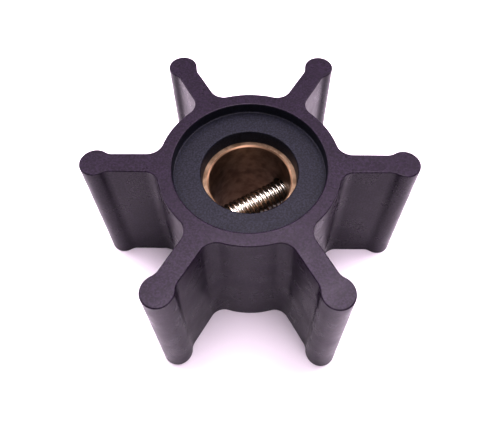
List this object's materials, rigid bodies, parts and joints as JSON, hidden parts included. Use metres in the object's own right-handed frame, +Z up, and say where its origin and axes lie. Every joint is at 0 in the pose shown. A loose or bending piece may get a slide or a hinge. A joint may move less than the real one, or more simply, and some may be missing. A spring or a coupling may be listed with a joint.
{
  "type": "pump impeller",
  "caption": "Moulded rubber pump impeller with straight flexible vanes, a round bead on each tip, and a brass bush whose bore is crossed by a threaded drive screw.",
  "frame": {"origin": "on the shaft axis, in the plane of the lower end face that the impeller stands on", "axes": "+Z up along the shaft axis, +X through the tip of one vane"},
  "size_m": [0.0508, 0.0446, 0.0251],
  "materials": {
    "moulded_rubber": "satin moulded neoprene, dark charcoal",
    "turned_brass": "turned, lightly tarnished",
    "screw_steel": "rolled thread, bright stainless"
  },
  "bodies": {
    "root": {"rubber_impeller": "moulded_rubber", "brass_bush": "turned_brass", "drive_screw": "screw_steel"}
  },
  "joints": []
}
